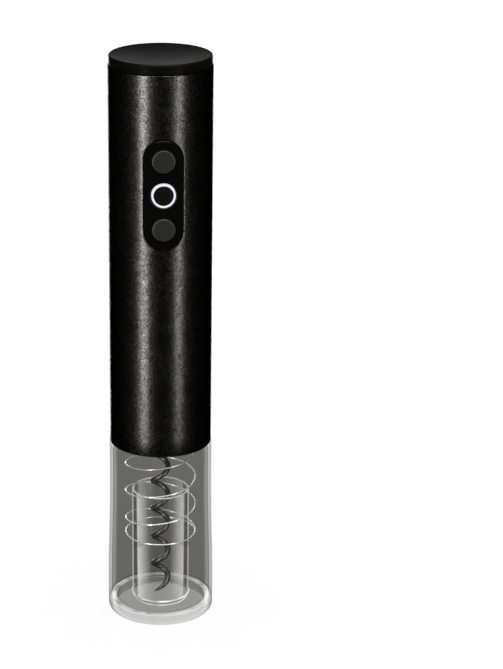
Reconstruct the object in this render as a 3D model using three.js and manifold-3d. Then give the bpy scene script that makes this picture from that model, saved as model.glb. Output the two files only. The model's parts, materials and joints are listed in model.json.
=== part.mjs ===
// Electric wine opener: a black metal tube with a clear bottle guide below it.
//
// Top to bottom it holds a pull-off battery cap, four AA cells in a holder, a circuit board with two push
// buttons and a ring light, a brushed motor, a two-stage planetary gearbox, a worm on the output shaft, and a
// clear cork sleeve that the bottle pushes up against a coil spring.
//
// Millimetres, +Z up. The origin is the centre of the foot ring, on the surface that the opener stands on.
// The buttons face -Y.
import * as THREE from 'three';
import { mergeVertices } from 'three/addons/utils/BufferGeometryUtils.js';
import Module from 'manifold-3d';

const wasm = await Module();
wasm.setup();

// ---------------------------------------------------------------- driving dimensions
const GAP = 0.3; // between two pieces that touch on the real object
const FIT = 0.15; // running clearance round a pin, a shaft or a button
const SMOOTH = 32; // sides of the large round pieces

const TUBE_R = 23;
const TUBE_WALL = 1;
const TUBE_BORE_R = TUBE_R - TUBE_WALL;
const TUBE_FOOT_Z = 83.3;
const TUBE_TOP_Z = 257.1;
const CAP_TOP_Z = 261.7;

const SKIRT_TOP_R = 23.2;
const SKIRT_FOOT_R = 24.1;
const SKIRT_WALL = 1.4;
const SKIRT_FLARE_TOP_Z = 64;
const SKIRT_FLARE_FOOT_Z = 12;
const FOOT_RING_BORE_R = 20.35;
const FOOT_RING_Z = 5;
const FOOT_ROUND_R = 1.9;

const SLEEVE_R = 13;
const SLEEVE_BORE_R = 12.05;
const SLEEVE_FOOT_Z = FOOT_RING_Z + GAP;
const SLEEVE_TOP_Z = 58.9;
const SLEEVE_DISC_R = 21.2;
const SLEEVE_DISC_Z = 1.5;
const SEAT_R = 19.6; // the step under the disc that rests on a bottle's lip
const SEAT_STEP = 0.7;

const SPRING_R = 16;
const SPRING_WIRE_R = 0.35;
const SPRING_FOOT_Z = 37;
const SPRING_TOP_Z = 115;
const SPRING_PITCH = 13.6;

const WORM_R = 3.4;
const WORM_WIRE_R = 1.25;
const WORM_PITCH = 13.9;
const WORM_TIP_Z = 7;
const WORM_RIGHT_Z = 13.9; // a height at which the helix is at +X
const WORM_NECK_Z = 90; // the helix starts to close on its shank here
const WORM_SHANK_Z = 97;
const WORM_TOP_Z = 109;

const PANEL_Z = 204.7;
const PANEL_WIDTH = 17;
const PANEL_HEIGHT = 48.7;
const PANEL_R = TUBE_R + 0.35;
const BUTTON_SPACING = 15.2;
const BUTTON_R = 5.15;
const BUTTON_FACE = 24.1; // distance from the axis to a button's face
const WELL_R = 5.7;
const LIGHT_RING_R = 5.55;
const LIGHT_RING_BORE_R = 4.2;
const FLANGE_R = 6.3; // the flange that keeps a button or the light ring behind the panel
const FLANGE_FOOT_R = 21; // distances from the axis to the flange's two faces
const FLANGE_FACE_R = 21.6;
const BOARD_FACE_R = 17.9; // distance from the axis to the circuit board's front
const BOARD_THICKNESS = 1.2;

const CELL_R = 7.2;
const CELL_LENGTH = 50.5;
const CELL_OFFSET = 7.75;
const CELL_FOOT_Z = 193.1;
const HOLDER_FOOT_Z = 189.6;
const HOLDER_TOP_Z = 244;
const HOLDER_FLAT_Y = -16.2;

const MODULE = 0.65; // gear module
const PRESSURE_ANGLE = THREE.MathUtils.degToRad(25);
const ADDENDUM = 0.9 * MODULE;
const DEDENDUM = 1.1 * MODULE;
const BACKLASH = 0.1; // taken off each tooth's thickness
const FLANK_RELIEF = 0.1; // extra room in the internal gear
const SUN_TEETH = 12;
const PLANET_TEETH = 18;
const RING_TEETH = SUN_TEETH + 2 * PLANET_TEETH;
const PLANET_ORBIT_R = (SUN_TEETH + PLANET_TEETH) * MODULE / 2;
const PLANET_COUNT = 3;
const PIN_R = 1.6;
const GEARBOX_R = 17.4;
const GEARBOX_FOOT_Z = 121.5;
const GEARBOX_TOP_Z = 145.6;
const STAGE_Z = [137.8, 127.8]; // foot of the planets, first stage then second
const PLANET_WIDTH = 6.8;
const CARRIER_R = 13.5;
const CARRIER_GAP = 0.4; // from a carrier's plate up to its planets
const OUTPUT_SHAFT_R = 3;

const MOTOR_R = 13.85;
const MOTOR_FOOT_Z = 148.6;
const MOTOR_TOP_Z = 182.8;
const MOTOR_SHAFT_R = 1;
const MOTOR_SCREW_X = 8;
const MOTOR_WALL = 0.95;
const MOTOR_BOSS_R = 4.9;

const CHASSIS_R = 21.6;
const CHASSIS_FOOT_Z = 119.2;
const CHASSIS_TOP_Z = 176;
const CHASSIS_SCREW_X = 16.9;
const CHASSIS_SCREW_Z = 163;

// ---------------------------------------------------------------- materials
const paint = (color, roughness, metalness) => {
  return new THREE.MeshStandardMaterial({ color, roughness, metalness });
};
const blackPaint = paint(0x0b0b0a, 0.42, 0.6);
const blackPlastic = paint(0x131311, 0.5, 0);
const softBlack = paint(0x20201e, 0.65, 0);
const greyPlastic = paint(0x4a4b4c, 0.6, 0);
const whitePlastic = paint(0xe6e6e2, 0.5, 0);
const clearPlastic = new THREE.MeshStandardMaterial({
  color: 0xc8c8c8, roughness: 0.08, metalness: 0, transparent: true, opacity: 0.35,
});
const lightGuide = new THREE.MeshStandardMaterial({ color: 0xffffff, roughness: 0.4, emissive: 0xf2f4ff });
const steel = paint(0xb9bcc0, 0.3, 1);
const darkSteel = paint(0x2b2b29, 0.35, 0.8);
const bronze = paint(0xa9793c, 0.35, 1);
const copper = paint(0xb4663a, 0.35, 1);
const magnet = paint(0x3a3a3c, 0.7, 0.3);
const boardGreen = paint(0x1d5b36, 0.5, 0);
const cellWrap = paint(0x3c4148, 0.35, 0.2);
const redWire = paint(0xa8231d, 0.5, 0);
const blackWire = paint(0x171717, 0.5, 0);

// ---------------------------------------------------------------- solids and meshes
const opener = new THREE.Group();
opener.name = 'electric_wine_opener';

// A closed geometry as a manifold solid, with its faces turned outwards.
function solid(geometry) {
  const bare = geometry.index ? geometry.toNonIndexed() : geometry.clone();
  bare.deleteAttribute('normal');
  bare.deleteAttribute('uv');
  const merged = mergeVertices(bare, 1e-4);
  const vertProperties = merged.attributes.position.array;
  const triVerts = new Uint32Array(merged.index.array);
  const made = new wasm.Manifold(new wasm.Mesh({ numProp: 3, vertProperties, triVerts }));
  if (made.volume() > 0) return made;
  return new wasm.Manifold(new wasm.Mesh({ numProp: 3, vertProperties, triVerts: triVerts.reverse() }));
}

// Adds a solid to the opener as one named mesh.
function addPart(name, shape, material) {
  const mesh = shape.getMesh();
  const geometry = new THREE.BufferGeometry();
  geometry.setAttribute('position', new THREE.BufferAttribute(new Float32Array(mesh.vertProperties), 3));
  geometry.setIndex(new THREE.BufferAttribute(new Uint32Array(mesh.triVerts), 1));
  geometry.computeVertexNormals();
  const part = new THREE.Mesh(geometry, material);
  part.name = name;
  opener.add(part);
}

// A turned solid about Z from [radius, z] points. The profile starts and ends on the axis, or closes up.
function turned(profile, segments = 24) {
  const points = profile.map(([r, z]) => new THREE.Vector2(r, z));
  const last = profile[profile.length - 1];
  if (profile[0][0] > 0 || last[0] > 0) points.push(points[0].clone());
  return solid(new THREE.LatheGeometry(points, segments).rotateX(Math.PI / 2));
}

// A ring or a plain disc about Z.
function ring(innerR, outerR, footZ, topZ, segments = 24) {
  return innerR > 0
    ? turned([[innerR, footZ], [outerR, footZ], [outerR, topZ], [innerR, topZ]], segments)
    : turned([[0, footZ], [outerR, footZ], [outerR, topZ], [0, topZ]], segments);
}

// A flat outline in XY pushed up from footZ to topZ.
function prism(shape, footZ, topZ, curveSegments = 12) {
  const depth = topZ - footZ;
  const geometry = new THREE.ExtrudeGeometry(shape, { depth, bevelEnabled: false, curveSegments });
  return solid(geometry.translate(0, 0, footZ));
}

function block(sizeX, sizeY, sizeZ, x, y, z) {
  return solid(new THREE.BoxGeometry(sizeX, sizeY, sizeZ).translate(x, y, z));
}

// Turns a solid built along +Z so that its +Z looks out of the front, along -Y, and centres it at height z.
const facingFront = (shape, z) => shape.rotate([90, 0, 0]).translate([0, 0, z]);

// A round bar along Y, at x and z.
function barAlongY(radius, fromY, toY, x, z, segments = 12) {
  return ring(0, radius, -toY, -fromY, segments).rotate([90, 0, 0]).translate([x, 0, z]);
}

// A wire of round section along a curve.
function wire(curve, radius, steps, sides) {
  const section = new THREE.Shape();
  for (let i = 0; i < sides; i += 1) {
    const angle = 2 * Math.PI * i / sides;
    const place = [radius * Math.cos(angle), radius * Math.sin(angle)];
    if (i) section.lineTo(...place);
    else section.moveTo(...place);
  }
  section.closePath();
  return solid(new THREE.ExtrudeGeometry(section, { steps, extrudePath: curve, bevelEnabled: false }));
}

// A stadium-shaped block through the front wall, centred on the control panel.
function stadium(width, height, fromY, toY) {
  const radius = width / 2;
  const straight = height / 2 - radius;
  const outline = new THREE.Shape();
  outline.absarc(0, straight, radius, 0, Math.PI);
  outline.absarc(0, -straight, radius, Math.PI, 2 * Math.PI);
  return facingFront(prism(outline, -toY, -fromY, 12), PANEL_Z);
}

// ---------------------------------------------------------------- housing
function bodyTube() {
  const bevel = 0.3;
  const tube = turned([
    [TUBE_BORE_R, TUBE_FOOT_Z], [TUBE_R, TUBE_FOOT_Z], [TUBE_R, TUBE_TOP_Z - bevel],
    [TUBE_R - bevel, TUBE_TOP_Z], [TUBE_BORE_R, TUBE_TOP_Z],
  ], 48);
  const window = stadium(PANEL_WIDTH + 2 * FIT, PANEL_HEIGHT + 2 * FIT, -TUBE_R - 2, -TUBE_BORE_R + 4);
  addPart('body_tube', tube.subtract(window), blackPaint);
}

// The skirt's outer radius: straight at the top, then a gentle flare down to the foot.
function skirtRadius(z) {
  const share = THREE.MathUtils.smoothstep(z, SKIRT_FLARE_FOOT_Z, SKIRT_FLARE_TOP_Z);
  return THREE.MathUtils.lerp(SKIRT_FOOT_R, SKIRT_TOP_R, share);
}

function bottleSkirt() {
  const shoulderZ = TUBE_FOOT_Z - GAP;
  const spigotR = TUBE_BORE_R - GAP;
  const spigotBoreR = 20.5;
  const spigotTopZ = TUBE_FOOT_Z + 10.7;
  const steps = 3;
  const flare = [];
  for (let i = 0; i <= steps; i += 1) {
    const z = THREE.MathUtils.lerp(SKIRT_FLARE_FOOT_Z, SKIRT_FLARE_TOP_Z, i / steps);
    flare.push([skirtRadius(z), z]);
  }
  const round = [];
  for (let i = 0; i <= 3; i += 1) {
    const angle = Math.PI / 6 * i;
    round.push([
      SKIRT_FOOT_R - FOOT_ROUND_R * (1 - Math.sin(angle)),
      FOOT_ROUND_R * (1 - Math.cos(angle)),
    ]);
  }
  const inside = flare.map(([r, z]) => [r - SKIRT_WALL, z]).reverse();
  addPart('bottle_skirt', turned([
    [FOOT_RING_BORE_R, 0.6], [FOOT_RING_BORE_R + 0.6, 0],
    ...round, ...flare,
    [SKIRT_TOP_R, shoulderZ], [spigotR, shoulderZ], [spigotR, spigotTopZ], [spigotBoreR, spigotTopZ],
    [spigotBoreR, shoulderZ + 1], [SKIRT_TOP_R - SKIRT_WALL, shoulderZ - 1.5],
    ...inside,
    [SKIRT_FOOT_R - SKIRT_WALL, FOOT_RING_Z], [FOOT_RING_BORE_R + 0.4, FOOT_RING_Z],
    [FOOT_RING_BORE_R, FOOT_RING_Z - 0.4],
  ], SMOOTH), clearPlastic);
}

// The chassis before it is parted: a tube with ribs that hold the gearbox and both ends of the motor.
function chassisShell() {
  const wallR = 20.1;
  const footBoreR = 14.5;
  const footTopZ = GEARBOX_FOOT_Z - GAP;
  const motorSeatR = MOTOR_R + 0.45;
  const gearboxSeatR = GEARBOX_R + 0.4;
  const gearboxRib = [133, 136];
  const motorRib = [150.2, 152.2];
  const topRibZ = CHASSIS_TOP_Z - 2;
  return turned([
    [footBoreR, CHASSIS_FOOT_Z], [CHASSIS_R, CHASSIS_FOOT_Z], [CHASSIS_R, CHASSIS_TOP_Z],
    [motorSeatR, CHASSIS_TOP_Z], [motorSeatR, topRibZ], [wallR, topRibZ],
    [wallR, motorRib[1]], [motorSeatR, motorRib[1]], [motorSeatR, motorRib[0]], [wallR, motorRib[0]],
    [wallR, gearboxRib[1]], [gearboxSeatR, gearboxRib[1]],
    [gearboxSeatR, gearboxRib[0]], [wallR, gearboxRib[0]],
    [wallR, footTopZ], [footBoreR, footTopZ],
  ], 24);
}

// Two half shells, screwed together round the motor and the gearbox.
function chassis() {
  const boss = { r: 2.4, reach: 6, floor: 0.6 };
  const head = { r: 1.6, length: 1.2 };
  const threadR = 0.85;
  const threadHoleR = threadR + GAP;
  const bar = (r, fromY, toY, x, sides) => barAlongY(r, fromY, toY, x, CHASSIS_SCREW_Z, sides);
  const shell = chassisShell();
  for (const [side, sign] of [['front', -1], ['rear', 1]]) {
    const middleZ = (CHASSIS_FOOT_Z + CHASSIS_TOP_Z) / 2;
    let half = shell.intersect(block(60, 40, 80, 0, sign * (20 + FIT), middleZ));
    for (const x of [-CHASSIS_SCREW_X, CHASSIS_SCREW_X]) {
      const ends = [sign * FIT, sign * boss.reach].sort((a, b) => a - b);
      half = half.add(bar(boss.r, ...ends, x, 12));
      half = half.subtract(bar(threadHoleR, -boss.reach - 1, boss.reach - boss.floor, x, 8));
      half = half.subtract(bar(head.r + GAP, -CHASSIS_R - 1, -boss.reach, x, 12));
    }
    addPart(`chassis_${side}`, half, greyPlastic);
  }
  const headY = -boss.reach - GAP;
  for (const [side, x] of [['left', -CHASSIS_SCREW_X], ['right', CHASSIS_SCREW_X]]) {
    const thread = bar(threadR, headY - 0.2, boss.reach - 1, x, 8);
    addPart(`chassis_screw_${side}`, thread.add(bar(head.r, headY - head.length, headY, x, 12)), steel);
  }
}

// ---------------------------------------------------------------- cork sleeve and its spring
// A tube on a wide disc. The step under the disc rests on the bottle's lip, and four lugs steady the spring.
function corkSleeve() {
  const edge = 0.4;
  const seatZ = SLEEVE_FOOT_Z - SEAT_STEP;
  const discTopZ = SLEEVE_FOOT_Z + SLEEVE_DISC_Z;
  let sleeve = turned([
    [SLEEVE_BORE_R, seatZ + edge], [SLEEVE_BORE_R + edge, seatZ], [SEAT_R, seatZ], [SEAT_R, SLEEVE_FOOT_Z],
    [SLEEVE_DISC_R, SLEEVE_FOOT_Z], [SLEEVE_DISC_R, discTopZ], [SLEEVE_R, discTopZ],
    [SLEEVE_R, SLEEVE_TOP_Z], [SLEEVE_BORE_R, SLEEVE_TOP_Z],
  ], SMOOTH);
  const lug = { reach: SPRING_R + 1, width: 3, height: 1.4 };
  const lugLength = lug.reach - SLEEVE_R + 0.5;
  for (let i = 0; i < 4; i += 1) {
    const x = lug.reach - lugLength / 2;
    const z = SPRING_FOOT_Z - 2 * SPRING_WIRE_R - GAP - lug.height / 2;
    sleeve = sleeve.add(block(lugLength, lug.width, lug.height, x, 0, z).rotate([0, 0, 45 + 90 * i]));
  }
  addPart('cork_sleeve', sleeve, clearPlastic);
}

// A helix with its first and last turns closed.
class SpringCurve extends THREE.Curve {
  constructor() {
    super();
    this.closed = 1;
    this.active = (SPRING_TOP_Z - SPRING_FOOT_Z - 4 * SPRING_WIRE_R) / SPRING_PITCH;
    this.turns = this.active + 2 * this.closed;
  }

  getPoint(share) {
    const turn = share * this.turns;
    const up = THREE.MathUtils.clamp(turn - this.closed, 0, this.active) * SPRING_PITCH;
    const stacked = Math.min(turn, this.closed) + Math.max(0, turn - this.closed - this.active);
    const z = SPRING_FOOT_Z - SPRING_WIRE_R + stacked * 2.2 * SPRING_WIRE_R + up;
    const angle = 2 * Math.PI * turn;
    return new THREE.Vector3(SPRING_R * Math.cos(angle), SPRING_R * Math.sin(angle), z);
  }
}

function returnSpring() {
  const curve = new SpringCurve();
  curve.arcLengthDivisions = 600;
  addPart('return_spring', wire(curve, SPRING_WIRE_R, Math.round(curve.turns * 13), 4), steel);
  const retainer = ring(14.5, 19.6, SPRING_TOP_Z + 2 * GAP, CHASSIS_FOOT_Z - GAP, SMOOTH);
  addPart('spring_retainer', retainer, blackPlastic);
}

// ---------------------------------------------------------------- worm and output shaft
class WormCurve extends THREE.Curve {
  getPoint(share) {
    const z = THREE.MathUtils.lerp(WORM_TIP_Z, WORM_TOP_Z, share);
    const lastTurn = THREE.MathUtils.degToRad(150);
    const angle = z < WORM_RIGHT_Z
      ? -lastTurn * (WORM_RIGHT_Z - z) / (WORM_RIGHT_Z - WORM_TIP_Z)
      : 2 * Math.PI * (z - WORM_RIGHT_Z) / WORM_PITCH;
    const radius = WORM_R * (1 - THREE.MathUtils.smoothstep(z, WORM_NECK_Z, WORM_SHANK_Z));
    return new THREE.Vector3(radius * Math.cos(angle), radius * Math.sin(angle), z);
  }
}

function wormAndShaft() {
  const curve = new WormCurve();
  curve.arcLengthDivisions = 800;
  addPart('worm', wire(curve, WORM_WIRE_R, 84, 6), darkSteel);

  const hubR = 6.2;
  const hubFootZ = 99;
  const hubTopZ = 117.5;
  const shaftFootZ = WORM_TOP_Z + 1;
  const shaftTopZ = STAGE_Z[1] - 0.6;
  const shankBoreR = WORM_WIRE_R + FIT + 0.1;
  const shaftBoreR = OUTPUT_SHAFT_R + FIT;
  addPart('worm_hub', turned([
    [shankBoreR, hubFootZ], [hubR - 2, hubFootZ], [hubR, hubFootZ + 2], [hubR, hubTopZ],
    [shaftBoreR, hubTopZ], [shaftBoreR, shaftFootZ - GAP], [shankBoreR, shaftFootZ - GAP],
  ]), blackPlastic);
  addPart('output_shaft', ring(0, OUTPUT_SHAFT_R, shaftFootZ, shaftTopZ, 20), steel);
}

// ---------------------------------------------------------------- gearbox
const involute = (angle) => Math.tan(angle) - angle;

// The outline of a spur gear with a tooth centred on +X. Each flank runs straight from its foot to its tip.
// thinning is taken off the tooth's thickness, and is negative for the hole of an internal gear.
function gearOutline(teeth, addendum, dedendum, thinning) {
  const pitchR = teeth * MODULE / 2;
  const baseR = pitchR * Math.cos(PRESSURE_ANGLE);
  const halfTooth = Math.PI / (2 * teeth) - thinning / (2 * pitchR);
  const halfAngleAt = (r) => {
    const reach = Math.acos(Math.min(1, baseR / r));
    return halfTooth + involute(PRESSURE_ANGLE) - involute(reach);
  };
  const radii = [pitchR - dedendum, pitchR + addendum];
  const outline = new THREE.Shape();
  for (let tooth = 0; tooth < teeth; tooth += 1) {
    const centre = 2 * Math.PI * tooth / teeth;
    const flank = radii.map((r) => [r, halfAngleAt(r)]);
    const points = [
      ...flank.map(([r, half]) => [r, centre - half]),
      ...flank.reverse().map(([r, half]) => [r, centre + half]),
    ];
    points.forEach(([r, angle], i) => {
      const place = [r * Math.cos(angle), r * Math.sin(angle)];
      if (tooth === 0 && i === 0) outline.moveTo(...place);
      else outline.lineTo(...place);
    });
  }
  outline.closePath();
  return outline;
}

const roundHole = (x, y, r) => new THREE.Path().absarc(x, y, r, 0, 2 * Math.PI);
const spurGear = (teeth) => gearOutline(teeth, ADDENDUM, DEDENDUM, BACKLASH);
const planetAngle = (i) => Math.PI / 2 + 2 * Math.PI * i / PLANET_COUNT;

// How far a planet is turned on its pin so that its teeth mesh with a sun that has a tooth on +X.
function planetPhase(i) {
  const sunPhase = planetAngle(i) * SUN_TEETH / (2 * Math.PI);
  return planetAngle(i) + Math.PI - 2 * Math.PI / PLANET_TEETH * (0.5 - sunPhase);
}

// A plate with a pin for each planet of the stage above it.
function carrier(plateFootZ, plateTopZ) {
  let made = ring(0, CARRIER_R, plateFootZ, plateTopZ, 24);
  for (let i = 0; i < PLANET_COUNT; i += 1) {
    const pin = ring(0, PIN_R, plateTopZ - 0.5, plateTopZ + PLANET_WIDTH + 0.6, 12);
    const at = planetAngle(i);
    made = made.add(pin.translate([PLANET_ORBIT_R * Math.cos(at), PLANET_ORBIT_R * Math.sin(at), 0]));
  }
  return made;
}

function gearboxHousing() {
  const plateTopZ = GEARBOX_FOOT_Z + 2.5;
  const bushR = 5;
  const annulus = new THREE.Shape().absarc(0, 0, GEARBOX_R, 0, 2 * Math.PI);
  annulus.holes.push(gearOutline(RING_TEETH, DEDENDUM, ADDENDUM, -BACKLASH - FLANK_RELIEF));
  const toothedRing = prism(annulus, plateTopZ - 0.2, GEARBOX_TOP_Z, 18).rotate([0, 0, 180 / RING_TEETH]);
  const endPlate = ring(bushR + FIT, GEARBOX_R - 0.2, GEARBOX_FOOT_Z, plateTopZ, SMOOTH);
  addPart('gearbox_housing', toothedRing.add(endPlate), whitePlastic);
  const bush = ring(OUTPUT_SHAFT_R + FIT, bushR, GEARBOX_FOOT_Z - 0.6, plateTopZ + 0.4, 20);
  addPart('output_bush', bush, bronze);
}

function planets() {
  STAGE_Z.forEach((footZ, stage) => {
    for (let i = 0; i < PLANET_COUNT; i += 1) {
      const outline = spurGear(PLANET_TEETH);
      outline.holes.push(roundHole(0, 0, PIN_R + FIT));
      const at = planetAngle(i);
      const planet = prism(outline, footZ, footZ + PLANET_WIDTH, 6)
        .rotate([0, 0, THREE.MathUtils.radToDeg(planetPhase(i))])
        .translate([PLANET_ORBIT_R * Math.cos(at), PLANET_ORBIT_R * Math.sin(at), 0]);
      addPart(`stage${stage + 1}_planet_${i + 1}`, planet, whitePlastic);
    }
  });
}

// The first carrier drives the second stage's sun. The second carrier is pressed on the output shaft.
function carriers() {
  const firstTopZ = STAGE_Z[0] - CARRIER_GAP;
  const firstFootZ = STAGE_Z[1] + PLANET_WIDTH + 0.6;
  const secondSun = prism(spurGear(SUN_TEETH), STAGE_Z[1] + 0.1, firstFootZ + 0.2);
  addPart('stage1_carrier', carrier(firstFootZ, firstTopZ).add(secondSun), steel);

  const secondTopZ = STAGE_Z[1] - CARRIER_GAP;
  const secondFootZ = GEARBOX_FOOT_Z + 3.3;
  const shaftHole = ring(0, OUTPUT_SHAFT_R + FIT, secondFootZ - 5, secondTopZ - 0.1, 20);
  addPart('stage2_carrier', carrier(secondFootZ, secondTopZ).subtract(shaftHole), steel);
}

// ---------------------------------------------------------------- motor
const atBothScrews = (shape) => {
  return shape.translate([-MOTOR_SCREW_X, 0, 0]).add(shape.translate([MOTOR_SCREW_X, 0, 0]));
};

// The motor's can on the plate that closes the gearbox, and the two screws that join them.
function motorMount() {
  const plateFootZ = GEARBOX_TOP_Z + GAP;
  const plateTopZ = MOTOR_FOOT_Z - GAP;
  const bossFootZ = MOTOR_FOOT_Z - 2.2;
  const shaftHoleR = MOTOR_SHAFT_R + 0.4;
  const screw = { threadR: 1.1, headR: 2.1, footZ: plateFootZ + 0.1 };
  screw.neckZ = screw.footZ + 1;
  screw.topZ = screw.footZ + 5.5;
  const screwHoles = atBothScrews(ring(0, screw.threadR + 0.2, plateFootZ - 1, plateFootZ + 4, 10));
  const counterbores = atBothScrews(ring(0, screw.headR + GAP, plateFootZ - 1, screw.neckZ + 0.2, 12));
  const plate = ring(MOTOR_BOSS_R + 0.2, GEARBOX_R, plateFootZ, plateTopZ, 24);
  addPart('motor_plate', plate.subtract(screwHoles).subtract(counterbores), steel);

  const can = turned([
    [shaftHoleR, bossFootZ], [MOTOR_BOSS_R, bossFootZ], [MOTOR_BOSS_R, MOTOR_FOOT_Z],
    [MOTOR_R, MOTOR_FOOT_Z], [MOTOR_R, MOTOR_TOP_Z], [MOTOR_R - MOTOR_WALL, MOTOR_TOP_Z],
    [MOTOR_R - MOTOR_WALL, MOTOR_FOOT_Z + MOTOR_WALL], [shaftHoleR, MOTOR_FOOT_Z + MOTOR_WALL],
  ], 24);
  addPart('motor_can', can.subtract(screwHoles), steel);

  for (const [side, x] of [['left', -MOTOR_SCREW_X], ['right', MOTOR_SCREW_X]]) {
    const made = turned([
      [0, screw.footZ], [screw.headR, screw.footZ], [screw.headR, screw.neckZ], [screw.threadR, screw.neckZ],
      [screw.threadR, screw.topZ], [0, screw.topZ],
    ], 10);
    addPart(`motor_screw_${side}`, made.translate([x, 0, 0]), steel);
  }
}

function motorMagnets() {
  const outerR = MOTOR_R - MOTOR_WALL - 0.35;
  const innerR = 10.9;
  const footZ = MOTOR_FOOT_Z + 4.4;
  const topZ = MOTOR_TOP_Z - 4.8;
  const halfSpan = THREE.MathUtils.degToRad(60);
  for (const [side, middle] of [['left', Math.PI], ['right', 0]]) {
    const outline = new THREE.Shape();
    outline.absarc(0, 0, outerR, middle - halfSpan, middle + halfSpan);
    outline.absarc(0, 0, innerR, middle + halfSpan, middle - halfSpan, true);
    addPart(`motor_magnet_${side}`, prism(outline, footZ, topZ, 10), magnet);
  }
}

// Three T-shaped poles with filled slots between them.
function rotorOutline() {
  const poles = 3;
  const poleR = 10.3;
  const neckR = 8.6;
  const windingR = 4.2;
  const halfPole = THREE.MathUtils.degToRad(50);
  const halfNeck = THREE.MathUtils.degToRad(36);
  const outline = new THREE.Shape();
  for (let pole = 0; pole < poles; pole += 1) {
    const middle = 2 * Math.PI * pole / poles;
    const next = middle + 2 * Math.PI / poles;
    outline.absarc(0, 0, poleR, middle - halfPole, middle + halfPole);
    outline.absarc(0, 0, neckR, middle + halfPole, middle + halfNeck, true);
    outline.absarc(0, 0, windingR, middle + halfPole, next - halfPole);
    outline.absarc(0, 0, neckR, next - halfNeck, next - halfPole, true);
  }
  outline.holes.push(roundHole(0, 0, MOTOR_SHAFT_R + FIT));
  return outline;
}

function motorRotor() {
  const core = { footZ: MOTOR_FOOT_Z + 7.4, topZ: MOTOR_TOP_Z - 8.8 };
  const commutator = { r: 3.2, topZ: MOTOR_TOP_Z - 2.3 };
  const shaft = { footZ: STAGE_Z[0] + 0.4, topZ: MOTOR_TOP_Z + 2.4 };
  const bars = ring(MOTOR_SHAFT_R + FIT, commutator.r, core.topZ - 0.2, commutator.topZ, 12);
  addPart('motor_rotor', prism(rotorOutline(), core.footZ, core.topZ, 4).add(bars), copper);
  addPart('motor_shaft', ring(0, MOTOR_SHAFT_R, shaft.footZ, shaft.topZ, 12), steel);

  const pinion = spurGear(SUN_TEETH);
  pinion.holes.push(roundHole(0, 0, MOTOR_SHAFT_R + FIT));
  addPart('sun_pinion', prism(pinion, STAGE_Z[0], STAGE_Z[0] + PLANET_WIDTH + 0.2, 4), bronze);

  const lid = { footZ: MOTOR_TOP_Z + GAP, topZ: MOTOR_TOP_Z + 3.8, r: MOTOR_R - FIT, bevel: 0.6 };
  const bearingR = MOTOR_SHAFT_R + 0.2;
  addPart('motor_end_cap', turned([
    [0, shaft.topZ + 0.5], [bearingR, shaft.topZ + 0.5], [bearingR, lid.footZ], [lid.r, lid.footZ],
    [lid.r, lid.topZ - lid.bevel], [lid.r - lid.bevel, lid.topZ], [0, lid.topZ],
  ]), blackPlastic);
}

// ---------------------------------------------------------------- batteries
const cellPlaces = [[-1, -1], [1, -1], [1, 1], [-1, 1]]
  .map(([x, y], i) => ({ x: x * CELL_OFFSET, y: y * CELL_OFFSET, plusUp: i % 2 === 0 }));

function batteries() {
  const nubR = 2.7;
  const nubZ = 1.5;
  const shoulder = 0.5;
  const bodyTop = CELL_LENGTH - nubZ;
  cellPlaces.forEach(({ x, y, plusUp }, i) => {
    const upright = turned([
      [0, 0], [CELL_R - shoulder, 0], [CELL_R, shoulder], [CELL_R, bodyTop - shoulder],
      [CELL_R - shoulder, bodyTop], [nubR, bodyTop], [nubR, CELL_LENGTH], [0, CELL_LENGTH],
    ], 16);
    const cell = plusUp ? upright : upright.rotate([180, 0, 0]).translate([0, 0, CELL_LENGTH]);
    addPart(`battery_${i + 1}`, cell.translate([x, y, CELL_FOOT_Z]), cellWrap);
  });
}

// A two-by-two holder with a wall round each cell, flat at the front to clear the circuit board.
function batteryHolder() {
  const floorTopZ = HOLDER_FOOT_Z + 1.8;
  const flangeThickness = 2;
  const coreR = 19.4;
  const clipped = (r) => {
    const half = Math.acos(-HOLDER_FLAT_Y / r);
    return new THREE.Shape().absarc(0, 0, r, -Math.PI / 2 + half, 1.5 * Math.PI - half);
  };
  const walls = clipped(coreR);
  const flange = new THREE.Shape().absarc(0, 0, CHASSIS_R, 0, 2 * Math.PI);
  for (const { x, y } of cellPlaces) {
    walls.holes.push(roundHole(x, y, CELL_R + 0.35));
    flange.holes.push(roundHole(x, y, CELL_R + 0.35));
  }
  const holder = prism(walls, floorTopZ - 0.2, HOLDER_TOP_Z - 1, 8)
    .add(prism(clipped(CHASSIS_R), HOLDER_FOOT_Z, floorTopZ, 12))
    .add(prism(flange, HOLDER_TOP_Z - flangeThickness, HOLDER_TOP_Z, 8));
  const slot = { width: 6.8, length: 4 * CELL_OFFSET, height: 2.6 };
  const bridgeSlot = block(slot.width, slot.length, slot.height, CELL_OFFSET, 0, floorTopZ + slot.height / 2);
  addPart('battery_holder', holder.subtract(bridgeSlot), blackPlastic);
}

// A metal strip along Y or X with a dimple under or over each cell end that it touches.
function contactStrip(places, z, toCells) {
  const width = 6;
  const thickness = 0.5;
  const dimpleR = 1.8;
  const xs = places.map((p) => p.x);
  const ys = places.map((p) => p.y);
  const middle = (list) => (Math.min(...list) + Math.max(...list)) / 2;
  const length = (list) => Math.max(...list) - Math.min(...list) + width;
  let strip = block(length(xs), length(ys), thickness, middle(xs), middle(ys), z);
  for (const { x, y } of places) {
    const ends = [z, z + toCells].sort((a, b) => a - b);
    strip = strip.add(ring(0, dimpleR, ...ends, 10).translate([x, y, 0]));
  }
  return strip;
}

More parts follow.
